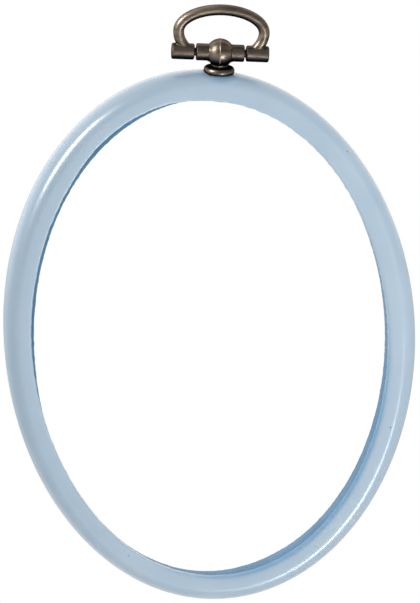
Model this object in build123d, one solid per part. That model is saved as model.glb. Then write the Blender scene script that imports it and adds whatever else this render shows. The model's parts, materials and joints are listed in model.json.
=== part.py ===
from build123d import *
from math import asin, atan2, degrees, hypot, radians, tan
import os

# A small oval embroidery hoop that doubles as a hanging frame. A soft outer ring with a domed
# face snaps over a stiff inner ring, and a swivelling hanger is screwed to its rim.
# Millimetres. X is to the right, Y to the back, Z up. The face looks along -Y.
# The origin is the centre of the opening, level with the hanger's screw where it leaves the rim.

# Driving sizes of the oval
opening_width = 102.0
opening_height = 139.0

# Soft outer ring, measured across its section from the lip's edge outwards
face_width = 8.6
ring_depth = 9.6
flank_height = 3.8
crown_inset = 4.2
lip_drop = 1.1
lip_thickness = 1.5
lip_round = 1.0
lip_under_round = 0.3
back_round = 0.7
mouth_round = 0.4

# Stiff inner ring, which fills the channel behind the lip
inner_wall = 2.9
inner_inset = 0.4
soft_clearance = 0.3
flange_width = 5.3
flange_thickness = 1.2
inner_edge_round = 0.35
back_trim = 0.05

# Hanger's place on the rim, and how far it leans to the right and tilts to the front in degrees
hanger_shift = 4.8
lean_share = 0.72
hanger_tilt = 10.0
seat_depth = 0.8
seat_clearance = 0.25

# Collar between the rim and the post
collar_diameter = 8.8
collar_thickness = 1.9
collar_round = 0.7
collar_clearance = 0.1

# Post: one casting with a ball, two arms and a neck
turning_gap = 0.05
pin_height = 5.2
ball_diameter = 8.0
arm_diameter = 4.85
arm_span = 13.6
arm_round = 0.25
crease_round = 0.5
neck_diameter = 4.9
neck_round = 0.35
web_thickness = 2.6
web_hollow = 1.4
web_root = 0.15

# Pin through the post, tight in the bail's barrels
pin_diameter = 2.3
pin_clearance = 0.05
pin_recess = 0.2
pin_chamfer = 0.2

# Bail: a D-shaped loop that ends in two barrels. Its legs bow in below the shoulders.
bail_wire = 3.1
barrel_diameter = 4.6
barrel_length = 6.4
barrel_gap = 0.6
barrel_chamfer = 0.3
loop_half_width = 12.15
loop_shoulder_height = 6.0
loop_rise = 6.4
loop_fall = 8.4
leg_foot_height = 0.9

# Screw from inside the channel, with its washer
screw_diameter = 2.0
screw_engagement = 2.3
thread_tip_room = 0.2
head_diameter = 4.0
head_height = 1.3
head_round = 0.3
slot_width = 0.6
slot_depth = 0.6
washer_diameter = 5.0
washer_thickness = 0.5
head_cover = 0.6

# One overrun for every cut
overrun = 1.0

# Worked out from the sizes above
half_width = opening_width / 2
half_height = opening_height / 2
lip_level = ring_depth - lip_drop
channel_level = lip_level - lip_thickness
pocket_diameter = washer_diameter + 2 * soft_clearance
channel_wall = inner_inset + inner_wall + soft_clearance
back_y = channel_level / 2 + (face_width - channel_wall) * tan(radians(hanger_tilt))
pocket_depth = washer_thickness + turning_gap + head_height + head_cover
pocket_floor = -(face_width - channel_wall - pocket_depth)
collar_top = collar_thickness - seat_depth
post_base = collar_top + turning_gap
head_seat = pocket_floor - washer_thickness - turning_gap
barrel_start = arm_span / 2 + barrel_gap
barrel_end = barrel_start + barrel_length


def oval_path():
    """The lip's edge, a closed ellipse round the opening in the XZ plane."""
    return Wire([Edge.make_ellipse(half_width, half_height, plane=Plane.XZ)])


def swept_round(section):
    """Carries a section drawn as (outwards, frontwards) once round the oval."""
    start = Plane(origin=(half_width, back_y, 0), x_dir=(1, 0, 0), z_dir=(0, 0, -1))
    return sweep(start * section, path=oval_path())


def corner(sketch, across, up):
    """The corner of a section nearest to a point."""
    return sketch.vertices().sort_by_distance((across, up, 0))[0]


def outer_ring_section():
    """Domed face, straight outer flank and a channel behind the lip, open at the back."""
    flank_foot = (face_width, 0)
    flank_top = (face_width, flank_height)
    crown = (crown_inset, ring_depth)
    lip_top = (0, lip_level)
    with BuildSketch() as section:
        with BuildLine():
            Line((channel_wall, 0), flank_foot)
            Line(flank_foot, flank_top)
            EllipticalCenterArc(
                (crown_inset, flank_height),
                face_width - crown_inset,
                ring_depth - flank_height,
                start_angle=0,
                arc_size=90,
            )
            TangentArc(crown, lip_top, tangent=(-1, 0))
            Polyline(lip_top, (0, channel_level), (channel_wall, channel_level), (channel_wall, 0))
        make_face()
        fillet(corner(section.sketch, *flank_foot), back_round)
        fillet(corner(section.sketch, *lip_top), lip_round)
        fillet(corner(section.sketch, 0, channel_level), lip_under_round)
        fillet(corner(section.sketch, channel_wall, 0), mouth_round)
    return section.sketch


def inner_ring_section():
    """A wall that stands in the channel and a flange that lies against the back."""
    outside = inner_inset + inner_wall
    top = channel_level - soft_clearance
    flange_top = -soft_clearance
    flange_back = flange_top - flange_thickness - back_trim
    flange_edge = inner_inset + flange_width
    with BuildSketch() as section:
        with BuildLine():
            Polyline(
                (inner_inset, flange_back),
                (flange_edge, flange_back),
                (flange_edge, flange_top),
                (outside, flange_top),
                (outside, top),
                (inner_inset, top),
                close=True,
            )
        make_face()
        for across, up in (
            (inner_inset, flange_back),
            (flange_edge, flange_back),
            (flange_edge, flange_top),
            (outside, top),
            (inner_inset, top),
        ):
            fillet(corner(section.sketch, across, up), inner_edge_round)
    return section.sketch


def hanger_place():
    """The hanger's own frame: Z along the screw, X along the pin, its foot on the flank."""
    up_share = (1 - (hanger_shift / half_width) ** 2) ** 0.5
    foot = Vector(hanger_shift, 0, half_height * up_share)
    slope = Vector(foot.X / half_width**2, 0, foot.Z / half_height**2)
    normal = slope / hypot(slope.X, slope.Z)
    lean = lean_share * degrees(atan2(normal.X, normal.Z))
    return Location(foot + normal * face_width) * Rot(0, lean, 0) * Rot(hanger_tilt, 0, 0)


def upright_cylinder(diameter, low, high):
    """A cylinder on the hanger's Z axis between two heights."""
    return Pos(0, 0, low) * Cylinder(
        diameter / 2, high - low, align=(Align.CENTER, Align.CENTER, Align.MIN)
    )


def crosswise_cylinder(diameter, start, end):
    """A cylinder on the pin's axis, along the hanger's X, between two places."""
    lying = Rot(0, 90, 0) * Cylinder(
        diameter / 2, end - start, align=(Align.CENTER, Align.CENTER, Align.MIN)
    )
    return Pos(start, 0, pin_height) * lying


def make_outer_ring():
    ring = swept_round(outer_ring_section())
    seat = upright_cylinder(
        collar_diameter + 2 * seat_clearance, -seat_depth, collar_thickness + overrun
    )
    screw_hole = upright_cylinder(
        screw_diameter + 2 * soft_clearance, pocket_floor - overrun, overrun
    )
    pocket = upright_cylinder(
        pocket_diameter, pocket_floor - pocket_depth - overrun, pocket_floor
    )
    return ring - hanger_place() * (seat + screw_hole + pocket)


def make_inner_ring():
    """The swept ring, with a shaving off its back to make that face truly flat."""
    ring = swept_round(inner_ring_section())
    back_face_y = back_y + soft_clearance + flange_thickness
    shaving = Pos(0, back_face_y, 0) * Box(
        opening_width + 4 * face_width,
        overrun,
        opening_height + 4 * face_width,
        align=(Align.CENTER, Align.MIN, Align.CENTER),
    )
    return ring - shaving


def make_collar():
    disc = upright_cylinder(collar_diameter, -seat_depth, collar_top)
    disc = fillet(disc.edges().filter_by(GeomType.CIRCLE), collar_round)
    hole = upright_cylinder(
        screw_diameter + 2 * collar_clearance, -seat_depth - overrun, collar_top + overrun
    )
    return disc - hole


def make_web():
    """The flat web that runs from under the arms down to the neck, hollowed on both sides."""
    arm_foot = pin_height - arm_diameter / 2 + web_root
    hollow_centre = neck_diameter / 2 + web_hollow
    with BuildSketch(Plane.XZ) as web:
        with Locations((0, pin_height)):
            Rectangle(
                2 * hollow_centre, pin_height - arm_foot + web_hollow, align=(Align.CENTER, Align.MAX)
            )
        with Locations((-hollow_centre, arm_foot - web_hollow), (hollow_centre, arm_foot - web_hollow)):
            Circle(web_hollow, mode=Mode.SUBTRACT)
    return extrude(web.sketch, web_thickness / 2, both=True)


def make_post():
    """Ball, arms, web and neck in one, bored across for the pin and from below for the screw."""
    ball = Pos(0, 0, pin_height) * Rot(0, 90, 0) * Sphere(ball_diameter / 2)
    arms = crosswise_cylinder(arm_diameter, -arm_span / 2, arm_span / 2)
    arms = fillet(arms.edges().filter_by(GeomType.CIRCLE), arm_round)
    crossbar = ball + arms
    creases = crossbar.edges().filter_by_position(Axis.X, -ball_diameter / 2, ball_diameter / 2)
    crossbar = fillet(creases.filter_by(lambda edge: edge.is_closed), crease_round)
    neck = upright_cylinder(neck_diameter, post_base, pin_height)
    neck = fillet(neck.edges().filter_by(GeomType.CIRCLE).sort_by(Axis.Z)[0], neck_round)
    pin_bore = crosswise_cylinder(
        pin_diameter + 2 * pin_clearance, -arm_span / 2 - overrun, arm_span / 2 + overrun
    )
    screw_bore = upright_cylinder(
        screw_diameter, post_base - overrun, post_base + screw_engagement + thread_tip_room
    )
    return crossbar + [make_web(), neck] - pin_bore - screw_bore


def loop_path():
    """The loop's centre line: half an ellipse over the top, and a taller one cut off inside the barrels."""
    centre = (0, pin_height + loop_shoulder_height)
    leg_turn = degrees(asin((loop_shoulder_height - leg_foot_height) / loop_fall))
    with BuildLine(Plane.XZ) as line:
        EllipticalCenterArc(
            centre, loop_half_width, loop_fall, start_angle=-leg_turn, arc_size=leg_turn
        )
        EllipticalCenterArc(centre, loop_half_width, loop_rise, start_angle=0, arc_size=180)
        EllipticalCenterArc(
            centre, loop_half_width, loop_fall, start_angle=180, arc_size=leg_turn
        )
    return line.wire()


def make_bail():
    """The loop with a barrel at each foot, bored through for the pin."""
    path = loop_path()
    start = Plane(origin=path @ 0, z_dir=path % 0)
    loop = sweep(start * Circle(bail_wire / 2), path=path)
    bail = loop
    for side in (-1, 1):
        ends = sorted((side * barrel_start, side * barrel_end))
        barrel = crosswise_cylinder(barrel_diameter, *ends)
        bail += chamfer(barrel.edges().filter_by(GeomType.CIRCLE), barrel_chamfer)
    return bail - crosswise_cylinder(pin_diameter, -barrel_end - overrun, barrel_end + overrun)


def make_pin():
    pin = crosswise_cylinder(pin_diameter, pin_recess - barrel_end, barrel_end - pin_recess)
    return chamfer(pin.edges().filter_by(GeomType.CIRCLE), pin_chamfer)


def make_screw():
    """Slotted round head under the washer, with its shank up through the collar."""
    shank = upright_cylinder(screw_diameter, head_seat, post_base + screw_engagement)
    head = upright_cylinder(head_diameter, head_seat - head_height, head_seat)
    head = fillet(head.edges().filter_by(GeomType.CIRCLE).sort_by(Axis.Z)[0], head_round)
    slot = Pos(0, 0, head_seat - head_height) * Box(
        head_diameter + overrun, slot_width, 2 * slot_depth
    )
    return shank + head - slot


def make_washer():
    disc = upright_cylinder(washer_diameter, pocket_floor - washer_thickness, pocket_floor)
    hole = upright_cylinder(
        screw_diameter + 2 * collar_clearance,
        pocket_floor - washer_thickness - overrun,
        pocket_floor + overrun,
    )
    return disc - hole


on_the_rim = hanger_place()
nodes = {
    "outer_ring": make_outer_ring(),
    "inner_ring": make_inner_ring(),
    "hanger_collar": on_the_rim * make_collar(),
    "hanger_post": on_the_rim * make_post(),
    "hanger_bail": on_the_rim * make_bail(),
    "bail_pin": on_the_rim * make_pin(),
    "hanger_screw": on_the_rim * make_screw(),
    "screw_washer": on_the_rim * make_washer(),
}

os.makedirs("parts", exist_ok=True)
for name, solid in nodes.items():
    export_step(solid, f"parts/{name}.step")

screw_line = (on_the_rim * Pos(0, 0, overrun)).position - on_the_rim.position
pin_line = (on_the_rim * Pos(overrun, 0, 0)).position - on_the_rim.position
pin_centre = on_the_rim * Pos(0, 0, pin_height)
hang_point = on_the_rim * Pos(0, 0, pin_height + loop_shoulder_height + loop_rise - bail_wire / 2)
print("screw's place on the rim", on_the_rim.position)
print("screw's direction", screw_line)
print("pin's direction", pin_line)
print("pin's centre", pin_centre.position)
print("hang point", hang_point.position)
print("back face at y", back_y + soft_clearance + flange_thickness)
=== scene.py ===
# %% [markdown]
# # An oval embroidery hoop that doubles as a frame
#
# The real hoop is two rings: a soft vinyl ring with a domed face, and a stiff ring that it is stretched
# over. A small antique brass hanger is screwed to the rim. The mechanical model gives every size and
# place, so this script starts by loading it, and dresses it without changing its dimensions.
# Everything is in metres. X is to the right, Y to the back and Z up, and the face looks along -Y.

# %% Load the mechanical model
import json
from math import asin, atan2, cos, degrees, exp, hypot, pi, radians, sin

import bmesh
import bpy
from mathutils import Matrix, Vector, noise


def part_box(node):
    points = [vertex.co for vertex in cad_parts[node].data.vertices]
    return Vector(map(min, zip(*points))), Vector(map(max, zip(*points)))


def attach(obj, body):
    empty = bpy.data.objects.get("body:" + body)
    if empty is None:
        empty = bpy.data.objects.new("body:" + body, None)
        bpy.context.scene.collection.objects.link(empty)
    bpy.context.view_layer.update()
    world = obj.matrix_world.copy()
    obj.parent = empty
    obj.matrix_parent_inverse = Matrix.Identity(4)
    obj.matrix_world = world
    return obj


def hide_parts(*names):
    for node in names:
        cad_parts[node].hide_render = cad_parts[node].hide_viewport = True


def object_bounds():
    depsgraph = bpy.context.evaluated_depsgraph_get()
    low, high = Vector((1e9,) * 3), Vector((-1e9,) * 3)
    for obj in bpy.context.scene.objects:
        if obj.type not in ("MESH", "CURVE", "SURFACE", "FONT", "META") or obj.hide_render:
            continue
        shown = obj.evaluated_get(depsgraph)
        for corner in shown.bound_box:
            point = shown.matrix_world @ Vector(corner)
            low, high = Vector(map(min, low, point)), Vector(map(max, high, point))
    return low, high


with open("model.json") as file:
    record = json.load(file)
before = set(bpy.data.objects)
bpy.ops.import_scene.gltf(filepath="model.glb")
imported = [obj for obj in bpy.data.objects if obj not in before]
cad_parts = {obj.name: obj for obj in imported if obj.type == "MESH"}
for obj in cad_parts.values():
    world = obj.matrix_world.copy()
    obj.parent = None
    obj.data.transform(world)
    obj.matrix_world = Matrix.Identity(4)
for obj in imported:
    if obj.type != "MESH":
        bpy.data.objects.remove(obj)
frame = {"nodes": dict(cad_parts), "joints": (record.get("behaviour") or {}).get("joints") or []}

MM = 0.001
cad_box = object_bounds()
joints = {joint["name"]: joint for joint in frame["joints"]}
print("nodes", sorted(frame["nodes"]))

# %% [markdown]
# # The hanger's own axes
#
# The hanger leans a little to the right and tilts to the front, because its collar is pulled down on
# a domed rim. Its parts are easiest to model upright, in millimetres, and then to carry there with one
# matrix. The swivel joint gives the foot and the upright axis, and the bail's joint gives the pin.

# %% Axes from the joints
foot = Vector(joints["post_swivel"]["pos_m"])
upright = Vector(joints["post_swivel"]["axis"]).normalized()
crosswise = Vector(joints["bail_fold"]["axis"]).normalized()
backward = upright.cross(crosswise).normalized()
pin_centre = Vector(joints["bail_fold"]["pos_m"])
pin_height = (pin_centre - foot).length / MM
hanger_axes = Matrix((crosswise, backward, upright)).transposed().to_4x4()
to_hanger = Matrix.Translation(foot) @ hanger_axes @ Matrix.Scale(MM, 4)
print("pin height", round(pin_height, 3), "mm")

# %% [markdown]
# # The oval
#
# Both rings follow one ellipse, which is the edge of the soft ring's lip. Any place on a ring is then an
# angle round the oval, a distance outwards from that edge and a depth. Spinning a section round a
# circle is one operator, and bending that circle to the oval afterwards is one formula.

# %% The oval's sizes
ring_low, ring_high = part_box("outer_ring")
HALF_WIDTH = 51.0
HALF_HEIGHT = 69.5
FACE_WIDTH = ring_high.x / MM - HALF_WIDTH
BACK_Y = ring_high.y / MM
RING_DEPTH = BACK_Y - ring_low.y / MM
SPIN_RADIUS = 60.0
print("face width", round(FACE_WIDTH, 2), "ring depth", round(RING_DEPTH, 2), "mm")


def place_on_oval(angle, outwards, y):
    """A place in metres from an angle round the oval, a distance from the lip and a depth."""
    across, up = cos(angle) / HALF_WIDTH, sin(angle) / HALF_HEIGHT
    length = hypot(across, up)
    x = HALF_WIDTH * cos(angle) + outwards * across / length
    z = HALF_HEIGHT * sin(angle) + outwards * up / length
    return Vector((x, y, z)) * MM


# %% [markdown]
# # Helpers for meshes
#
# A bmesh holds a shape while operators work on it. One helper turns it into an object, with doubles
# merged and faces turned outwards. Another bakes live modifiers into the mesh, so that what follows
# can work on the result. A third says how big a mesh is and whether it is closed.

# %% From bmesh to object
def finished(name, bm, sharp_degrees=40):
    """Makes an object of a bmesh, closed, outward and smoothly shaded."""
    bmesh.ops.remove_doubles(bm, verts=bm.verts, dist=0.000001)
    bmesh.ops.recalc_face_normals(bm, faces=bm.faces)
    mesh = bpy.data.meshes.new(name)
    bm.to_mesh(mesh)
    bm.free()
    piece = bpy.data.objects.new(name, mesh)
    bpy.context.scene.collection.objects.link(piece)
    mesh.shade_smooth()
    mesh.set_sharp_from_angle(angle=radians(sharp_degrees))
    return piece


def bake_modifiers(piece):
    """Replaces a piece's mesh with what its modifiers make of it."""
    graph = bpy.context.evaluated_depsgraph_get()
    mesh = bpy.data.meshes.new_from_object(piece.evaluated_get(graph))
    piece.modifiers.clear()
    piece.data = mesh
    mesh.name = piece.name


def count(piece):
    """Prints how many triangles a piece has, and whether it is closed."""
    bm = bmesh.new()
    bm.from_mesh(piece.data)
    open_edges = sum(1 for edge in bm.edges if not edge.is_manifold)
    triangles = len(bm.calc_loop_triangles())
    bm.free()
    print(piece.name, triangles, "triangles,", open_edges, "open edges")


# %% [markdown]
# # Cutting
#
# Holes and flat ends are cut with boolean modifiers, as a drill or a file would make them. Where a cutter
# only grazes a fine mesh, slivers and hairline gaps can be left, so the helper merges and closes them.
# Ends are cut before the bore through them: the bore then leaves one clean rim in each end.

# %% Cut shapes out of a piece
SLIVER = 0.000003


def cut(piece, cutters):
    """Takes the cutters out of a piece in their order, and bins them."""
    for cutter in cutters:
        modifier = piece.modifiers.new("cut", "BOOLEAN")
        modifier.operation = "DIFFERENCE"
        modifier.solver = "EXACT"
        modifier.object = cutter
    bake_modifiers(piece)
    for cutter in cutters:
        bpy.data.objects.remove(cutter)
    bm = bmesh.new()
    bm.from_mesh(piece.data)
    bmesh.ops.remove_doubles(bm, verts=bm.verts, dist=SLIVER)
    bmesh.ops.dissolve_degenerate(bm, edges=bm.edges, dist=SLIVER)
    gaps = [edge for edge in bm.edges if edge.is_boundary]
    bmesh.ops.holes_fill(bm, edges=gaps)
    bmesh.ops.recalc_face_normals(bm, faces=bm.faces)
    bm.to_mesh(piece.data)
    bm.free()
    print(piece.name, "cut by", len(cutters), "shapes,", len(gaps), "edges of gaps closed")


# %% [markdown]
# # A section spun to a ring
#
# The section is a closed outline of distances outwards and heights above the back. The spin carries it
# round in small steps, then each vertex is read back as angle, distance and height, given any local
# change of shape, and placed on the oval.

# %% Spin and bend
def spin_section(outline, steps):
    """Spins a closed outline of (outwards, height) points in millimetres round the Y axis."""
    bm = bmesh.new()
    verts = [bm.verts.new((SPIN_RADIUS + out, BACK_Y - height, 0)) for out, height in outline]
    edges = [bm.edges.new((a, b)) for a, b in zip(verts, verts[1:] + verts[:1])]
    bmesh.ops.spin(
        bm, geom=verts + edges, cent=(0, 0, 0), axis=(0, 1, 0), angle=2 * pi, steps=steps, use_merge=True
    )
    return bm


def bend_to_oval(bm, shaping):
    """Moves each vertex from the circle to the oval. shaping changes its distance and height."""
    for vert in bm.verts:
        angle = atan2(vert.co.z, vert.co.x)
        out = hypot(vert.co.x, vert.co.z) - SPIN_RADIUS
        height = BACK_Y - vert.co.y
        out, height = shaping(angle, out, height)
        vert.co = place_on_oval(angle, out, BACK_Y - height)
    print("bent", len(bm.verts), "vertices to the oval")


# %% [markdown]
# # How the two rings sit
#
# The vinyl is soft, so it doesn't sit evenly on the stiff ring. At the upper left its lip has drawn back
# and the stiff ring's edge shows as a thin dark line. At the lower left the stiff ring hides behind
# the lip. A few smooth waves and humps round the oval describe this, and keep the highlights smooth.

# %% Waves and humps round the oval
# Waves are (turns round the oval, cosine share, sine share). Humps are (size, middle, spread).
OUTER_WAVES = ((1, -0.137, 0.437), (2, 0.163, -0.452), (3, 0.128, 0.138))
OUTER_OFFSET = -0.2
DRAWBACK = (0.95, 148, 50)
TOP_DRAWBACK = (0.55, 112, 20)
STAND_OUT = (-0.5, 147, 50)
STAND_BACK = (1.0, 236, 38)


def hump(angle, size, middle, spread):
    """A smooth, flat-topped hump round an angle. Its middle and spread are in degrees."""
    turn = abs((angle - radians(middle) + pi) % (2 * pi) - pi)
    return size * exp(-((turn / radians(spread)) ** 4))


def outer_shift(angle):
    """How far the soft ring's outer side stands out at an angle, in millimetres."""
    waves = sum(c * cos(n * angle) + s * sin(n * angle) for n, c, s in OUTER_WAVES)
    return OUTER_OFFSET + waves


def lip_shift(angle):
    """How far the soft ring's lip has drawn back outwards, in millimetres."""
    return hump(angle, *DRAWBACK) + hump(angle, *TOP_DRAWBACK)


def stiff_shift(angle):
    """How far the stiff ring's inner face stands outwards of its even place, in millimetres."""
    return hump(angle, *STAND_OUT) + hump(angle, *STAND_BACK)


furthest_back = max(lip_shift(radians(turn)) for turn in range(360))
print("lip drawn back by up to", round(furthest_back, 2), "mm")

# %% [markdown]
# # The soft ring
#
# Its section is a flat back with a channel, a short straight flank, a quarter ellipse up to the crown
# and an almost level face to the lip. A level face mirrors one even part of the studio, so it shows as
# a calm band beside the dome's streaks. The ellipse is a formula, and the few other points are corners
# with small arcs, so this outline is easier to write than to push out of a cube.

# %% Section of the soft ring
FLANK_HEIGHT = 3.8
CROWN_INSET = 4.2
FACE_FALL = 0.2
CHANNEL_LEVEL = 7.0
CHANNEL_WALL = 3.6
LIP_ROUND = 0.7
BACK_ROUND = 0.7
MOUTH_ROUND = 0.4
UNDER_ROUND = 0.3


def arc(centre, radii, start, end, segments):
    """Points of an elliptical arc between two angles in degrees, both ends included."""
    turns = [radians(start + (end - start) * i / segments) for i in range(segments + 1)]
    return [(centre[0] + radii[0] * cos(t), centre[1] + radii[1] * sin(t)) for t in turns]


def soft_section():
    """Outline of the soft ring, anticlockwise from the channel's mouth."""
    dome = arc(
        (CROWN_INSET, FLANK_HEIGHT),
        (FACE_WIDTH - CROWN_INSET, RING_DEPTH - FLANK_HEIGHT),
        0, 90, 48,
    )
    inner_end = LIP_ROUND * 0.8
    slope = [
        (CROWN_INSET - (CROWN_INSET - inner_end) * i / 8, RING_DEPTH - FACE_FALL * (i / 8) ** 1.3)
        for i in range(1, 9)
    ]
    last = slope[-1]
    lip = arc((inner_end, last[1] - LIP_ROUND), (LIP_ROUND * 0.8, LIP_ROUND), 90, 180, 6)[1:]
    under = arc((UNDER_ROUND, CHANNEL_LEVEL + UNDER_ROUND), (UNDER_ROUND, UNDER_ROUND), 180, 270, 3)
    foot_arc = arc((FACE_WIDTH - BACK_ROUND, BACK_ROUND), (BACK_ROUND, BACK_ROUND), 270, 360, 5)
    mouth = arc((CHANNEL_WALL + MOUTH_ROUND, MOUTH_ROUND), (MOUTH_ROUND, MOUTH_ROUND), 180, 270, 3)
    return mouth + foot_arc + dome + slope + lip + under + [(CHANNEL_WALL, CHANNEL_LEVEL)]


print("soft section of", len(soft_section()), "points")

# %% [markdown]
# # From section to soft ring
#
# The waves and humps move what lies near the outer side and near the lip, and fade out in between. The
# lip was trimmed by hand after moulding and isn't perfectly even, which noise along the oval gives it.

# %% Shape of the soft ring
TRIM_SIZE = 0.14
TRIM_LENGTH = 1.6
TRIM_REACH = 0.8
LIP_REACH = 4.0
SOFT_STEPS = 720


def soft_shaping(angle, out, height):
    """The soft ring's unevenness: waves of the outer side, drawback and trim of the lip."""
    outer_share = min(1, max(0, out / FACE_WIDTH)) ** 1.5
    shifted = out + outer_shift(angle) * outer_share
    if height > CHANNEL_LEVEL - 0.01:
        lip_share = max(0, 1 - out / LIP_REACH)
        here = place_on_oval(angle, 0, 0) / MM / TRIM_LENGTH
        trim = TRIM_SIZE * noise.noise(here) * max(0, 1 - max(0, out) / TRIM_REACH)
        shifted += lip_shift(angle) * lip_share + trim
    return shifted, height


def make_soft_ring():
    bm = spin_section(soft_section(), SOFT_STEPS)
    bend_to_oval(bm, soft_shaping)
    return finished("soft_ring", bm, sharp_degrees=60)


soft_ring = make_soft_ring()
count(soft_ring)

# %% [markdown]
# # The seat of the hanger in the soft ring
#
# The collar is pulled into the vinyl by its screw, which goes down through the rim to a washer in the
# channel. A cutter for each of the seat, the hole and the pocket is a plain cylinder, carried to the
# hanger's place by the same matrix as the hanger itself.

# %% Cut the seat, the hole and the pocket
SEAT_DIAMETER = 9.3
SEAT_DEPTH = 0.8
SCREW_HOLE = 2.6
POCKET_DIAMETER = 5.6
POCKET_TOP = -2.55
POCKET_FOOT = -6.0


def upright_cylinder(name, diameter, low, high, segments=64):
    """A closed cylinder on the hanger's upright axis between two heights in millimetres."""
    bm = bmesh.new()
    bmesh.ops.create_cone(
        bm, cap_ends=True, segments=segments, radius1=diameter / 2, radius2=diameter / 2,
        depth=high - low, matrix=Matrix.Translation((0, 0, (low + high) / 2)),
    )
    bmesh.ops.transform(bm, matrix=to_hanger, verts=bm.verts)
    return finished(name, bm)


cut(soft_ring, [
    upright_cylinder("seat_cutter", SEAT_DIAMETER, -SEAT_DEPTH, 3.0),
    upright_cylinder("hole_cutter", SCREW_HOLE, -4.0, 0.0),
    upright_cylinder("pocket_cutter", POCKET_DIAMETER, POCKET_FOOT, POCKET_TOP),
])
soft_ring.data.shade_smooth()
soft_ring.data.set_sharp_from_angle(angle=radians(60))

# %% [markdown]
# The lip's painted shade
#
# At the lower right the vinyl near the lip is painted a deeper blue, fading outwards: painted shade,
# which carries the stiff ring's shaded blue onto the lip. A number on each vertex says how much, and the
# vinyl's shader reads it. Noise couldn't put this where it belongs, and a painted image would be one more
# file to carry.

# %% Note where the lip gets painted shade
LIP_SHADE_SPAN = (-50, 50)
LIP_SHADE_WIDTH = 1.5


def note_lip_shade(piece):
    """Notes on each vertex how much painted shade the lip gets there."""
    layer = piece.data.attributes.new("lip_shade", "FLOAT", "POINT")
    values = []
    for vert in piece.data.vertices:
        angle = atan2(vert.co.z / HALF_HEIGHT, vert.co.x / HALF_WIDTH)
        edge = place_on_oval(angle, 0, 0) / MM
        outwards = (place_on_oval(angle, 1, 0) / MM - edge).normalized()
        out = (Vector((vert.co.x, 0, vert.co.z)) / MM - edge).dot(outwards)
        share = min(1, max(0, 1 - out / LIP_SHADE_WIDTH))
        values.append(hump(angle, 1, *LIP_SHADE_SPAN) * share ** 1.3)
    layer.data.foreach_set("value", values)


note_lip_shade(soft_ring)
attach(soft_ring, "outer_frame")
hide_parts("outer_ring")
count(soft_ring)

# %% [markdown]
# # The stiff ring
#
# It has a wall that fills the channel and a flange that lies against the back. Its section is a plain
# polygon with six corners, so the spin comes first and a bevel rounds the long edges afterwards. The
# mould left a little flash on the inner side, most of it at the front edge, which shows as a slightly
# ragged outline.

# %% Section and shape of the stiff ring
WALL = 2.75
INSET = 0.55
CLEARANCE = 0.3
FLANGE_WIDTH = 5.15
FLANGE_THICKNESS = 1.2
EDGE_ROUND = 0.35
STIFF_STEPS = 720
FLASH_SIZE = 0.34
FLASH_LENGTH = 1.1
FLASH_REACH = 0.8
FLASH_REST = 0.6


def stiff_section():
    """Outline of the stiff ring: wall and flange."""
    top = CHANNEL_LEVEL - CLEARANCE
    return [
        (INSET, -CLEARANCE - FLANGE_THICKNESS),
        (INSET + FLANGE_WIDTH, -CLEARANCE - FLANGE_THICKNESS),
        (INSET + FLANGE_WIDTH, -CLEARANCE),
        (INSET + WALL, -CLEARANCE),
        (INSET + WALL, top),
        (INSET, top),
    ]


def stiff_shaping(angle, out, height):
    """Moves the inner face in or out, and adds the flash at its front edge."""
    inner_share = max(0, 1 - (out - INSET) / (WALL - 2 * EDGE_ROUND))
    shifted = out + stiff_shift(angle) * inner_share
    shifted += outer_shift(angle) * (max(0, out) / FACE_WIDTH) ** 1.5
    front_share = max(FLASH_REST, 1 - (CHANNEL_LEVEL - CLEARANCE - height))
    near_edge = max(0, 1 - (out - INSET) / FLASH_REACH)
    here = place_on_oval(angle, 0, 0) / MM / FLASH_LENGTH
    shifted -= FLASH_SIZE * abs(noise.noise(here)) * near_edge * front_share
    return shifted, height


def make_stiff_ring():
    bm = spin_section(stiff_section(), STIFF_STEPS)
    corners = [
        edge for edge in bm.edges
        if edge.calc_face_angle(0) > radians(60)
    ]
    bmesh.ops.bevel(
        bm, geom=corners, offset=EDGE_ROUND, offset_type="OFFSET", segments=3, profile=0.5,
        affect="EDGES", material=-1,
    )
    bend_to_oval(bm, stiff_shaping)
    return finished("stiff_ring", bm)


stiff_ring = make_stiff_ring()
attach(stiff_ring, "inner_frame")
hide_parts("inner_ring")
count(stiff_ring)

# %% [markdown]
# # The collar
#
# A small brass disc with a rolled rim lies between the vinyl and the post. Its section is spun round the
# upright axis: a flat foot, a round bead at the rim and a slightly dished top, with the screw's hole.

# %% Spin the collar
COLLAR_DIAMETER = 8.8
COLLAR_THICKNESS = 1.9
COLLAR_BEAD = 0.72
COLLAR_DISH = 0.12
COLLAR_HOLE = 2.2
COLLAR_TOP = COLLAR_THICKNESS - SEAT_DEPTH


def make_collar():
    rim = COLLAR_DIAMETER / 2
    inner = COLLAR_HOLE / 2
    bead = arc(
        (rim - COLLAR_BEAD, (COLLAR_TOP - SEAT_DEPTH) / 2),
        (COLLAR_BEAD, COLLAR_THICKNESS / 2), -90, 90, 16,
    )
    dish = [(rim - 2.1 * COLLAR_BEAD, COLLAR_TOP - COLLAR_DISH), (inner, COLLAR_TOP - COLLAR_DISH)]
    outline = [(inner, -SEAT_DEPTH)] + bead + dish
    bm = bmesh.new()
    verts = [bm.verts.new((across, 0, height)) for across, height in outline]
    edges = [bm.edges.new((a, b)) for a, b in zip(verts, verts[1:] + verts[:1])]
    bmesh.ops.spin(
        bm, geom=verts + edges, cent=(0, 0, 0), axis=(0, 0, 1), angle=2 * pi, steps=96, use_merge=True
    )
    bmesh.ops.transform(bm, matrix=to_hanger, verts=bm.verts)
    return finished("collar", bm)


collar = make_collar()
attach(collar, "outer_frame")
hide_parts("hanger_collar")
count(collar)

# %% [markdown]
# # Castings
#
# The post and the bail are small castings, so wherever two forms meet there is a soft fillet. The simple
# way to such a shape is to join plain solids, turn the whole into fine voxels, which welds it, and
# relax the surface. Edges that stay crisp on the real part are cut or kept out of the relaxing.

# %% Tools for castings
RELAX_LOSS = 0.02
SPARE_END = 0.5


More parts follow.
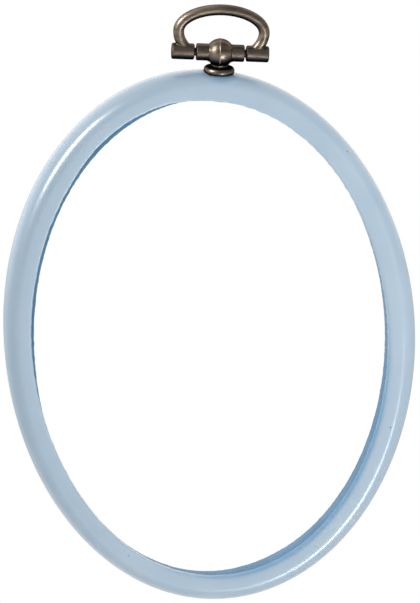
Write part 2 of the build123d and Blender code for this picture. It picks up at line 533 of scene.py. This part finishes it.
def lying_cylinder(bm, diameter, start, end, segments=64):
    """Adds a closed cylinder along the pin's axis."""
    bmesh.ops.create_cone(
        bm, cap_ends=True, segments=segments, radius1=diameter / 2, radius2=diameter / 2,
        depth=abs(end - start),
        matrix=Matrix.Translation(((start + end) / 2, 0, pin_height)) @ Matrix.Rotation(pi / 2, 4, "Y"),
    )


def end_cutter(end, diameter, chamfer, facing):
    """A ring-shaped cutter that leaves a cylinder's end flat, with a crisp chamfer. facing is 1 or -1."""
    radius = diameter / 2
    spare = 2 * SPARE_END
    outline = [
        (end, 0), (end, radius - chamfer), (end - facing * (chamfer + 0.2), radius + 0.2),
        (end - facing * (chamfer + 0.2), radius + 1.0), (end + facing * spare, radius + 1.0),
        (end + facing * spare, 0),
    ]
    bm = bmesh.new()
    verts = [bm.verts.new((x, 0, pin_height + across)) for x, across in outline]
    edges = [bm.edges.new((a, b)) for a, b in zip(verts, verts[1:])]
    bmesh.ops.spin(
        bm, geom=verts + edges, cent=(0, 0, pin_height), axis=(1, 0, 0), angle=2 * pi, steps=72,
        use_merge=True,
    )
    bmesh.ops.transform(bm, matrix=to_hanger, verts=bm.verts)
    return finished("end_cutter", bm)


def weld(piece, voxel, relax):
    """Turns joined solids into one skin of fine voxels and relaxes it."""
    remesh = piece.modifiers.new("weld", "REMESH")
    remesh.mode = "VOXEL"
    remesh.voxel_size = voxel * MM
    bake_modifiers(piece)
    smooth = piece.modifiers.new("relax", "SMOOTH")
    smooth.factor = 0.5
    smooth.iterations = relax
    bake_modifiers(piece)
    piece.data.shade_smooth()


# %% [markdown]
# # The post
#
# A ball with two short arms on a narrow neck. A thin web runs from under the arms down to the neck. It
# is one flat face with hollowed corners, extruded to its thickness.

# %% Web under the arms
ARM_DIAMETER = 4.85
NECK_DIAMETER = 4.9
WEB_THICKNESS = 2.6
WEB_HOLLOW = 1.4
WEB_ROOT = 0.15


def add_web(bm):
    """A flat plate under the arms whose two lower corners are hollowed to the neck."""
    reach = NECK_DIAMETER / 2 + WEB_HOLLOW
    arm_foot = pin_height - ARM_DIAMETER / 2 + WEB_ROOT
    right = arc((reach, arm_foot - WEB_HOLLOW), (WEB_HOLLOW, WEB_HOLLOW), 90, 180, 10)
    left = [(-x, z) for x, z in reversed(right)]
    outline = [(-reach, pin_height), (reach, pin_height)] + right + left
    verts = [bm.verts.new((x, -WEB_THICKNESS / 2, z)) for x, z in outline]
    face = bm.faces.new(verts)
    grown = bmesh.ops.extrude_face_region(bm, geom=[face])
    moved = [item for item in grown["geom"] if isinstance(item, bmesh.types.BMVert)]
    bmesh.ops.translate(bm, verts=moved, vec=(0, WEB_THICKNESS, 0))
    print("web of", len(outline), "points a side")


# %% [markdown]
# # The seam of the mould
#
# The post is cast in two halves, and their parting line runs over the ball as a fine raised seam. The same
# bell curve that raises the vertices is noted on them, so that the brass gets a painted highlight along
# the seam.

# %% Raise and note the seam
SEAM_PLACE = -0.25
SEAM_WIDTH = 0.18
SEAM_HEIGHT = 0.11
SEAM_CORE = 1.5


def nearness_to_seam(here):
    """From 0 away from the seam to 1 on it, for a place in the hanger's own millimetres."""
    return exp(-(((here.x - SEAM_PLACE) / SEAM_WIDTH) ** 2))


def raise_seam(piece):
    """Raises the fine line that the two halves of the mould left round the middle."""
    centre = Vector((0, 0, pin_height))
    inverse = to_hanger.inverted()
    for vert in piece.data.vertices:
        here = inverse @ vert.co
        outwards = here - centre
        outwards.x = 0
        if outwards.length > SEAM_CORE:
            here += outwards.normalized() * SEAM_HEIGHT * nearness_to_seam(here)
            vert.co = to_hanger @ here


def note_seam_highlight(piece):
    """Notes on each vertex how near the seam it is, for the painted highlight there."""
    inverse = to_hanger.inverted()
    values = [nearness_to_seam(inverse @ vert.co) for vert in piece.data.vertices]
    layer = piece.data.attributes.new("seam", "FLOAT", "POINT")
    layer.data.foreach_set("value", values)
    print("seam noted on", sum(1 for value in values if value > 0.5), "vertices")


# %% [markdown]
# # Casting the post
#
# Ball, arms, web and neck are plain solids. The weld makes one skin of them, the seam is raised on it,
# and the crisp ends and the two bores are cut last.

# %% Cast the post
BALL_DIAMETER = 8.0
ARM_SPAN = 13.6
ARM_CHAMFER = 0.2
PIN_BORE = 2.4
SCREW_BORE = 2.0
TURNING_GAP = 0.05
POST_VOXEL = 0.1


def make_post():
    bm = bmesh.new()
    bmesh.ops.create_uvsphere(
        bm, u_segments=64, v_segments=48, radius=BALL_DIAMETER / 2 + RELAX_LOSS / 2,
        matrix=Matrix.Translation((0, 0, pin_height)) @ Matrix.Rotation(pi / 2, 4, "Y"),
    )
    long_end = ARM_SPAN / 2 + SPARE_END
    lying_cylinder(bm, ARM_DIAMETER + RELAX_LOSS, -long_end, long_end)
    add_web(bm)
    base = COLLAR_TOP + TURNING_GAP
    bmesh.ops.create_cone(
        bm, cap_ends=True, segments=48, radius1=NECK_DIAMETER / 2, radius2=NECK_DIAMETER / 2,
        depth=pin_height - base, matrix=Matrix.Translation((0, 0, (pin_height + base) / 2)),
    )
    bmesh.ops.transform(bm, matrix=to_hanger, verts=bm.verts)
    post = finished("post", bm)
    weld(post, POST_VOXEL, relax=14)
    raise_seam(post)
    bore = bmesh.new()
    lying_cylinder(bore, PIN_BORE, -ARM_SPAN, ARM_SPAN)
    bmesh.ops.transform(bore, matrix=to_hanger, verts=bore.verts)
    cut(post, [
        end_cutter(ARM_SPAN / 2, ARM_DIAMETER, ARM_CHAMFER, 1),
        end_cutter(-ARM_SPAN / 2, ARM_DIAMETER, ARM_CHAMFER, -1),
        finished("pin_bore_cutter", bore),
        upright_cylinder("screw_bore_cutter", SCREW_BORE, base - 1, base + 2.5),
    ])
    post.data.shade_smooth()
    post.data.set_sharp_from_angle(angle=radians(35))
    note_seam_highlight(post)
    return post


post = make_post()
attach(post, "post")
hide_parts("hanger_post")
count(post)

# %% [markdown]
# # The bail
#
# A D-shaped loop of round wire that ends in two barrels. Its line is half an ellipse over the top and a
# taller one down each leg. A circle is carried along it by extruding its rim from one station to the
# next, which gives even rings of faces, where a curve object would have to be converted to a mesh.

# %% Carry a circle along the loop's line
LOOP_HALF_WIDTH = 12.15
LOOP_SHOULDER = 6.0
LOOP_RISE = 6.4
LOOP_FALL = 8.4
LEG_FOOT = 0.9


def loop_line():
    """Points of the loop's centre line: half an ellipse over the top, a taller one down each leg."""
    centre = (0, pin_height + LOOP_SHOULDER)
    leg_turn = degrees(asin((LOOP_SHOULDER - LEG_FOOT) / LOOP_FALL))
    right_leg = arc(centre, (LOOP_HALF_WIDTH, LOOP_FALL), -leg_turn, 0, 10)
    top = arc(centre, (LOOP_HALF_WIDTH, LOOP_RISE), 0, 180, 60)
    left_leg = arc(centre, (LOOP_HALF_WIDTH, LOOP_FALL), 180, 180 + leg_turn, 10)
    return right_leg + top[1:-1] + left_leg


def carry_circle(bm, line, radius, segments=40):
    """Carries a circle along a line in the hanger's upright plane by extruding its rim."""
    def station(i):
        before, after = line[max(i - 1, 0)], line[min(i + 1, len(line) - 1)]
        along = Vector((after[0] - before[0], 0, after[1] - before[1])).normalized()
        side = Vector((0, 1, 0)).cross(along)
        turn = Matrix((side, Vector((0, 1, 0)), along)).transposed().to_4x4()
        return Matrix.Translation((line[i][0], 0, line[i][1])) @ turn

    here = station(0)
    made = bmesh.ops.create_circle(bm, cap_ends=True, segments=segments, radius=radius, matrix=here)
    rim = list({edge for vert in made["verts"] for edge in vert.link_edges})
    for i in range(1, len(line)):
        there = station(i)
        grown = bmesh.ops.extrude_edge_only(bm, edges=rim)["geom"]
        moved = [item for item in grown if isinstance(item, bmesh.types.BMVert)]
        rim = [item for item in grown if isinstance(item, bmesh.types.BMEdge)]
        bmesh.ops.transform(bm, matrix=there @ here.inverted(), verts=moved)
        here = there
    bmesh.ops.holes_fill(bm, edges=rim)
    print("circle carried to", len(line), "stations")


# %% [markdown]
# # Casting the bail
#
# The barrels are cylinders at the feet of the loop, and the weld gives the fillets where the legs run into
# them. Each barrel is trimmed at both ends, and then one bore goes through both.

# %% Cast the bail
BAIL_WIRE = 3.1
BARREL_DIAMETER = 4.6
BARREL_LENGTH = 6.4
BARREL_GAP = 0.6
BARREL_CHAMFER = 0.3
PIN_DIAMETER = 2.3
BAIL_VOXEL = 0.11
BARREL_START = ARM_SPAN / 2 + BARREL_GAP
BARREL_END = BARREL_START + BARREL_LENGTH


def make_bail():
    bm = bmesh.new()
    carry_circle(bm, loop_line(), (BAIL_WIRE + RELAX_LOSS) / 2)
    for side in (-1, 1):
        inner, outer = BARREL_START - SPARE_END, BARREL_END + SPARE_END
        lying_cylinder(bm, BARREL_DIAMETER + RELAX_LOSS, side * inner, side * outer)
    bmesh.ops.transform(bm, matrix=to_hanger, verts=bm.verts)
    bail = finished("bail", bm)
    weld(bail, BAIL_VOXEL, relax=18)
    cutters = []
    for side in (-1, 1):
        cutters.append(end_cutter(side * BARREL_END, BARREL_DIAMETER, BARREL_CHAMFER, side))
        cutters.append(end_cutter(side * BARREL_START, BARREL_DIAMETER, BARREL_CHAMFER, -side))
    bore = bmesh.new()
    lying_cylinder(bore, PIN_DIAMETER, -2 * BARREL_END, 2 * BARREL_END)
    bmesh.ops.transform(bore, matrix=to_hanger, verts=bore.verts)
    cut(bail, cutters + [finished("barrel_bore_cutter", bore)])
    bail.data.shade_smooth()
    bail.data.set_sharp_from_angle(angle=radians(35))
    return bail


bail = make_bail()
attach(bail, "bail")
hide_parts("hanger_bail")
count(bail)

# %% [markdown]
# # Finishes
#
# Each finish is built from a Principled shader. What varies over the surface, such as patina or scuffs,
# comes from noise on Object coordinates, and what is the same everywhere is set on the socket. A small
# class keeps the node trees short enough to read: each method adds one node and gives its output.

# %% Tools for finishes
class Finish:
    """A material with short ways to add nodes and link them."""

    def __init__(self, name, **constants):
        self.material = bpy.data.materials.new(name)
        self.material.use_nodes = True
        self.tree = self.material.node_tree
        self.shader = self.tree.nodes["Principled BSDF"]
        for socket, value in constants.items():
            self.shader.inputs[socket.replace("_", " ")].default_value = value

    def add(self, kind, inputs=None, **settings):
        node = self.tree.nodes.new("ShaderNode" + kind)
        for setting, value in settings.items():
            setattr(node, setting, value)
        for socket, value in (inputs or {}).items():
            if isinstance(value, bpy.types.NodeSocket):
                self.tree.links.new(value, node.inputs[socket])
            else:
                node.inputs[socket].default_value = value
        return node

    def noise(self, scale, detail=3.0, roughness=0.55, stretch=(1, 1, 1)):
        place = self.add("TexCoord").outputs["Object"]
        mapped = self.add("Mapping", {"Vector": place, "Scale": stretch}).outputs["Vector"]
        inputs = {"Vector": mapped, "Scale": scale, "Detail": detail, "Roughness": roughness}
        return self.add("TexNoise", inputs).outputs["Fac"]

    def span(self, value, low, high, to_low=0.0, to_high=1.0):
        inputs = {"Value": value, "From Min": low, "From Max": high, "To Min": to_low, "To Max": to_high}
        return self.add("MapRange", inputs, clamp=True).outputs["Result"]

    def math(self, operation, a, b):
        return self.add("Math", {0: a, 1: b}, operation=operation).outputs[0]

    def vector(self, operation, a, b=(0, 0, 0), output="Vector"):
        return self.add("VectorMath", {0: a, 1: b}, operation=operation).outputs[output]

    def mix(self, fac, a, b):
        node = self.add("Mix", data_type="RGBA")
        for socket, value in ((0, fac), (6, a), (7, b)):
            if isinstance(value, bpy.types.NodeSocket):
                self.tree.links.new(value, node.inputs[socket])
            else:
                node.inputs[socket].default_value = value
        return node.outputs[2]

    def bump(self, height, distance, strength=1.0):
        inputs = {"Height": height, "Distance": distance, "Strength": strength}
        return self.add("Bump", inputs).outputs["Normal"]

    def set(self, **links):
        for socket, output in links.items():
            self.tree.links.new(output, self.shader.inputs[socket.replace("_", " ")])
        return self.material


def rgb(red, green, blue):
    """A colour for a socket, from the 0 to 255 values of a display."""
    def linear(value):
        share = value / 255
        return share / 12.92 if share <= 0.04045 else ((share + 0.055) / 1.055) ** 2.4
    return linear(red), linear(green), linear(blue), 1.0


def wear(piece, material):
    """Gives a piece its one material."""
    piece.data.materials.clear()
    piece.data.materials.append(material)
    print(piece.name, "wears", material.name, "of", len(material.node_tree.nodes), "nodes")


# %% [markdown]
# # Vinyl
#
# Plasticised vinyl is glossy and slightly translucent: light sinks in a few millimetres and comes out
# again, which softens its shade. The colour is a pastel blue, clouded a little by the moulding, with
# faint scuffs that break up the gloss. A coat gives the crisp streaks over a softer gloss below. Three
# things change the colour in places: painted shade near the lip at the lower right, a painted contact
# shadow round the collar, and a few dark specks that the moulding trapped.

# %% Soft ring in vinyl
# Reach of the painted contact shadow round the collar, as distances from the hanger's foot.
CONTACT_SHADOW_FROM = 0.0045
CONTACT_SHADOW_TO = 0.0064
SPECK_CORE = 0.0001
SPECK_SIZE = 0.0004
SPECKS = (
    (0.04116, -0.00421, 0.05296), (0.0484, -0.00188, 0.04415), (0.05055, -0.00521, -0.02822),
    (-0.02849, -0.00481, -0.05957), (-0.02741, -0.00495, -0.06111),
)


def make_vinyl():
    finish = Finish(
        "pastel_vinyl", Subsurface_Weight=0.35, Subsurface_Scale=0.0025, IOR=1.5,
        Coat_Roughness=0.3, Coat_IOR=1.8, Specular_IOR_Level=0.35, Subsurface_Radius=(0.7, 0.9, 1.0),
    )
    clouds = finish.span(finish.noise(55, detail=2), 0.3, 0.7)
    color = finish.mix(clouds, rgb(166, 189, 207), rgb(173, 194, 210))
    # Painted shade: near the lip at the lower right the vinyl turns to the stiff ring's shaded blue.
    lip_shade_share = finish.add("Attribute", attribute_name="lip_shade").outputs["Fac"]
    color = finish.mix(lip_shade_share, color, rgb(114, 153, 184))
    place = finish.add("TexCoord").outputs["Object"]
    from_foot = finish.vector("DISTANCE", place, foot, "Value")
    # Painted contact shadow: the vinyl round the collar turns a darker blue, for the shade that the collar
    # casts.
    contact_shadow = finish.span(from_foot, CONTACT_SHADOW_FROM, CONTACT_SHADOW_TO, 0.6, 0.0)
    color = finish.mix(contact_shadow, color, rgb(88, 134, 180))
    for speck in SPECKS:
        away = finish.vector("DISTANCE", place, speck, "Value")
        dark = finish.span(away, SPECK_CORE, SPECK_SIZE, 0.8, 0.0)
        color = finish.mix(dark, color, rgb(60, 84, 116))
    scuffs = finish.span(finish.noise(120, detail=3), 0.35, 0.75, 0.19, 0.25)
    roughness = finish.math("ADD", scuffs, finish.math("MULTIPLY", lip_shade_share, 0.4))
    gloss = finish.span(lip_shade_share, 0.0, 0.6, 0.7, 0.0)
    return finish.set(Base_Color=color, Roughness=roughness, Coat_Weight=gloss)


wear(soft_ring, make_vinyl())

# %% [markdown]
# # Stiff plastic
#
# The inner ring is of a harder plastic with a fine grain. Its deeper blue is partly painted shade, for
# the shade it lies in below the lip. It shows only inside the opening and at the back, so a bump from
# noise is enough for the grain, and the mesh carries the flash.

# %% Stiff ring in plastic
def make_plastic():
    finish = Finish("deep_blue_plastic", IOR=1.5, Specular_IOR_Level=0.05)
    clouds = finish.span(finish.noise(90, detail=3), 0.3, 0.7)
    # The deeper blue is partly painted shade, for the shade below the lip.
    color = finish.mix(clouds, rgb(84, 124, 155), rgb(96, 136, 167))
    gloss = finish.span(finish.noise(700, detail=3), 0.3, 0.7, 0.22, 0.38)
    grain = finish.bump(finish.noise(500, detail=3), 0.00003, 0.4)
    return finish.set(Base_Color=color, Roughness=gloss, Normal=grain)


wear(stiff_ring, make_plastic())

# %% [markdown]
# # Antique brass
#
# Brass that was plated, blackened and then rubbed back: brown and polished where it was rubbed, nearly
# black in the hollows. Ambient occlusion finds the hollows. The direction of the surface darkens the
# undersides: painted shade, for the dark that they mirror from below. The distance from the pin's line
# makes arms and barrels darker than the ball, and the ball's seam gets a painted highlight. Noise
# stretched along the pin gives the marks of rubbing. A dark specular tint darkens the outlines.

# %% Brass for the hanger
HOLLOW_REACH = 0.0025
# Facings at which the painted shade on the undersides is full, and where it ends.
UNDERSIDE_SHADE_FULL = -0.6
UNDERSIDE_SHADE_END = -0.05
# Distances from the pin's line over which arms and barrels turn darker than the ball.
PIN_LINE_DARKEST = 0.0023
PIN_LINE_FULL_TONE = 0.0034


def make_brass():
    finish = Finish("antique_brass", Metallic=1.0, Specular_Tint=(0.12, 0.11, 0.1, 1))
    shade = finish.add("AmbientOcclusion", {"Distance": HOLLOW_REACH}, samples=12)
    rubbed = finish.span(shade.outputs["AO"], 0.4, 0.95)
    # Painted shade: surfaces facing down turn dark, for the dark that they mirror from below.
    facing = finish.add("TexCoord").outputs["Normal"]
    upward = finish.add("SeparateXYZ", {0: facing}).outputs["Z"]
    top = finish.span(upward, UNDERSIDE_SHADE_FULL, UNDERSIDE_SHADE_END)
    mottle = finish.noise(700, detail=4, stretch=(0.2, 1, 1))
    patina_and_shade = finish.math("MULTIPLY", rubbed, finish.span(mottle, 0.35, 0.62, 0.5, 1.0))
    patina_and_shade = finish.math("MULTIPLY", patina_and_shade, top)
    # Arms and barrels, close to the pin's line, are made darker than the ball.
    place = finish.add("TexCoord").outputs["Object"]
    from_pin = finish.vector("SUBTRACT", place, pin_centre)
    crossed = finish.vector("CROSS_PRODUCT", from_pin, crosswise)
    reach = finish.vector("LENGTH", crossed, output="Value")
    pin_line_tone = finish.span(reach, PIN_LINE_DARKEST, PIN_LINE_FULL_TONE, 0.72, 1.0)
    patina_and_shade = finish.math("MULTIPLY", patina_and_shade, pin_line_tone)
    color = finish.mix(patina_and_shade, rgb(36, 38, 44), rgb(160, 144, 127))
    # Painted highlight: the brass is lighter along the ball's seam.
    seam = finish.add("Attribute", attribute_name="seam").outputs["Fac"]
    color = finish.mix(finish.math("MULTIPLY", seam, 0.4), color, rgb(204, 184, 162))
    rough = finish.span(finish.noise(500, detail=3), 0.3, 0.7, 0.31, 0.38)
    return finish.set(Base_Color=color, Roughness=rough)


brass = make_brass()
for piece in (collar, post, bail):
    wear(piece, brass)

# %% [markdown]
# # Pin, screw and washer
#
# The pin is dark steel, of which only a ring shows in each gap. The screw and the washer are bright
# zinc, and show when the stiff ring is out.

# %% Steel for the fasteners
def make_steel(name, dark, light, roughness):
    finish = Finish(name, Metallic=1.0)
    streaks = finish.span(finish.noise(2000, detail=3, stretch=(0.15, 1, 1)), 0.3, 0.7)
    gloss = finish.span(finish.noise(1600, detail=2), 0.3, 0.7, roughness, roughness + 0.12)
    return finish.set(Base_Color=finish.mix(streaks, dark, light), Roughness=gloss)


wear(frame["nodes"]["bail_pin"], make_steel("dark_pin_steel", rgb(46, 42, 40), rgb(74, 68, 62), 0.35))
zinc = make_steel("bright_zinc", rgb(150, 150, 148), rgb(182, 182, 178), 0.25)
for name in ("hanger_screw", "screw_washer"):
    wear(frame["nodes"][name], zinc)

# %% [markdown]
# # Camera
#
# A long lens looks slightly down and from a little to the left. The hoop hangs a few degrees askew in
# the picture, which a roll of the camera gives. The focal length is named in pixels of the frame's long
# side, and turned into millimetres of a 36 mm sensor.

# %% Camera
CAMERA_TARGET = Vector((0.00021, 0, 0.01128))
CAMERA_DISTANCE = 0.8
CAMERA_AZIMUTH = radians(-4.84)
CAMERA_ELEVATION = radians(10.5)
CAMERA_ROLL = radians(-2.71)
FOCAL_PIXELS = 2778.0
FRAME_HEIGHT = 603.0
SENSOR = 36.0


def make_camera():
    data = bpy.data.cameras.new("camera")
    data.sensor_width = SENSOR
    data.lens = FOCAL_PIXELS / FRAME_HEIGHT * SENSOR
    data.clip_start = 0.05
    data.clip_end = 50
    camera = bpy.data.objects.new("camera", data)
    bpy.context.scene.collection.objects.link(camera)
    back = Vector((
        sin(CAMERA_AZIMUTH) * cos(CAMERA_ELEVATION),
        -cos(CAMERA_AZIMUTH) * cos(CAMERA_ELEVATION),
        sin(CAMERA_ELEVATION),
    ))
    right = Vector((0, 0, 1)).cross(back).normalized()
    up = back.cross(right)
    rolled_right = cos(CAMERA_ROLL) * right + sin(CAMERA_ROLL) * up
    rolled_up = cos(CAMERA_ROLL) * up - sin(CAMERA_ROLL) * right
    turn = Matrix((rolled_right, rolled_up, back)).transposed().to_4x4()
    camera.matrix_world = Matrix.Translation(CAMERA_TARGET + back * CAMERA_DISTANCE) @ turn
    bpy.context.scene.camera = camera
    print("lens", round(data.lens, 1), "mm at", CAMERA_DISTANCE, "m")
    return rolled_right, rolled_up, back


camera_right, camera_up, camera_back = make_camera()

# %% [markdown]
# # Light
#
# Two small soft boxes make the long streaks on the vinyl and the spots on the metal: one at the upper
# left, one low on the right. They are only mirrored, so their place can follow the streaks without
# changing the shade. A wide box behind the left edge and one in front give the shade, and aren't
# mirrored. A box's first size lies along the ring, which sets the length of its streak.

# %% Soft boxes
def make_soft_box(name, direction, distance, along, across, watts):
    """An area lamp in a direction along the camera's right, up and back, sized along the ring first."""
    right, up, back = direction
    towards = (right * camera_right + up * camera_up + back * camera_back).normalized()
    data = bpy.data.lights.new(name, "AREA")
    data.shape = "RECTANGLE"
    data.size = along
    data.size_y = across
    data.energy = watts
    lamp = bpy.data.objects.new(name, data)
    bpy.context.scene.collection.objects.link(lamp)
    side = camera_back.cross(towards).normalized()
    turn = Matrix((side, towards.cross(side), towards)).transposed().to_4x4()
    lamp.matrix_world = Matrix.Translation(towards * distance) @ turn
    lamp.visible_camera = False
    print(name, "at", [round(value, 3) for value in lamp.matrix_world.translation])
    return lamp


left_box = make_soft_box("left_box", (-0.68, 0.455, 0.575), 0.60, 0.27, 0.17, 2.1)
left_box.visible_diffuse = False
right_box = make_soft_box("right_box", (0.43, -0.61, 0.67), 0.60, 0.20, 0.20, 1.35)
right_box.visible_diffuse = False
rim_box = make_soft_box("rim_box", (-0.80, 0.45, -0.40), 0.70, 0.5, 0.5, 4.2)
rim_box.visible_glossy = False
front_fill = make_soft_box("front_fill", (0.50, 0.10, 0.86), 0.38, 0.3, 0.3, 0.76)
front_fill.visible_glossy = False

# %% [markdown]
# # The world
#
# The backdrop is plain white to the camera and through clear things, and lights the hoop evenly from all
# sides at a lower level. Polished metal only looks like metal when it mirrors dark as well as light, so
# what gloss sees is dark on the camera's side, and rises to white behind the hoop and at the left.

# %% World
AMBIENT = 0.61
FRONT_GLOSS = 0.2
DARK_SIDE_END = -0.2
WHITE_SIDE_START = 0.75
LEFT = (-0.83, 0, 0.55)
LEFT_FROM = 0.35
LEFT_FULL = 0.95
LEFT_GLOSS = 0.6


def make_world():
    world = bpy.data.worlds.new("studio")
    bpy.context.scene.world = world
    world.use_nodes = True
    nodes, links = world.node_tree.nodes, world.node_tree.links

    def level(fac, low, high, start=0.0, end=1.0):
        node = nodes.new("ShaderNodeMapRange")
        values = {"Value": fac, "From Min": start, "From Max": end, "To Min": low, "To Max": high}
        for socket, value in values.items():
            if isinstance(value, bpy.types.NodeSocket):
                links.new(value, node.inputs[socket])
            else:
                node.inputs[socket].default_value = value
        return node.outputs[0]

    background = nodes["Background"]
    background.inputs["Color"].default_value = (1, 1, 1, 1)
    path = nodes.new("ShaderNodeLightPath")
    direction = nodes.new("ShaderNodeTexCoord").outputs["Generated"]
    split = nodes.new("ShaderNodeSeparateXYZ")
    links.new(direction, split.inputs[0])
    behind = level(split.outputs["Y"], FRONT_GLOSS, 1.0, DARK_SIDE_END, WHITE_SIDE_START)
    leftward = nodes.new("ShaderNodeVectorMath")
    leftward.operation = "DOT_PRODUCT"
    leftward.inputs[1].default_value = LEFT
    links.new(direction, leftward.inputs[0])
    left = level(leftward.outputs["Value"], 0.0, LEFT_GLOSS, LEFT_FROM, LEFT_FULL)
    both = nodes.new("ShaderNodeMath")
    both.use_clamp = True
    links.new(behind, both.inputs[0])
    links.new(left, both.inputs[1])
    glossy = level(path.outputs["Is Glossy Ray"], AMBIENT, both.outputs[0])
    clear = level(path.outputs["Is Transmission Ray"], glossy, 1.0)
    seen = level(path.outputs["Is Camera Ray"], clear, 1.0)
    links.new(seen, background.inputs["Strength"])
    print("world of", len(nodes), "nodes, ambient", AMBIENT)


make_world()

# %% [markdown]
# # The floor
#
# The hoop hangs well above a plain pale floor, which keeps its soft shadow when it is seen from above.
# Far from the shadow the floor turns plain white to the camera, so it runs into the backdrop.

# %% Floor
FLOOR_DROP = 0.35
FLOOR_SIZE = 12.0
SHADOW_REACH = 0.35
WHITE_FROM = 0.9


def make_floor():
    """A wide white floor under the hanging hoop, plain white where no shadow falls."""
    bm = bmesh.new()
    bmesh.ops.create_grid(
        bm, x_segments=1, y_segments=1, size=FLOOR_SIZE,
        matrix=Matrix.Translation((0, 0, cad_box[0].z - FLOOR_DROP)),
    )
    floor = finished("floor", bm)
    finish = Finish("floor_white", Roughness=0.9, Specular_IOR_Level=0.0)
    place = finish.add("TexCoord").outputs["Object"]
    reach = finish.vector("LENGTH", finish.vector("MULTIPLY", place, (1, 1, 0)), output="Value")
    far = finish.span(reach, SHADOW_REACH, WHITE_FROM)
    seen = finish.add("LightPath").outputs["Is Camera Ray"]
    emission = finish.add("Emission", {"Color": (1, 1, 1, 1), "Strength": 1.0})
    mixed = finish.add("MixShader", {"Fac": finish.math("MULTIPLY", far, seen)})
    finish.shader.inputs["Base Color"].default_value = (0.9, 0.9, 0.9, 1)
    finish.tree.links.new(finish.shader.outputs[0], mixed.inputs[1])
    finish.tree.links.new(emission.outputs[0], mixed.inputs[2])
    output = finish.tree.nodes["Material Output"]
    finish.tree.links.new(mixed.outputs[0], output.inputs["Surface"])
    wear(floor, finish.material)


make_floor()
bpy.context.scene.view_settings.view_transform = "Standard"
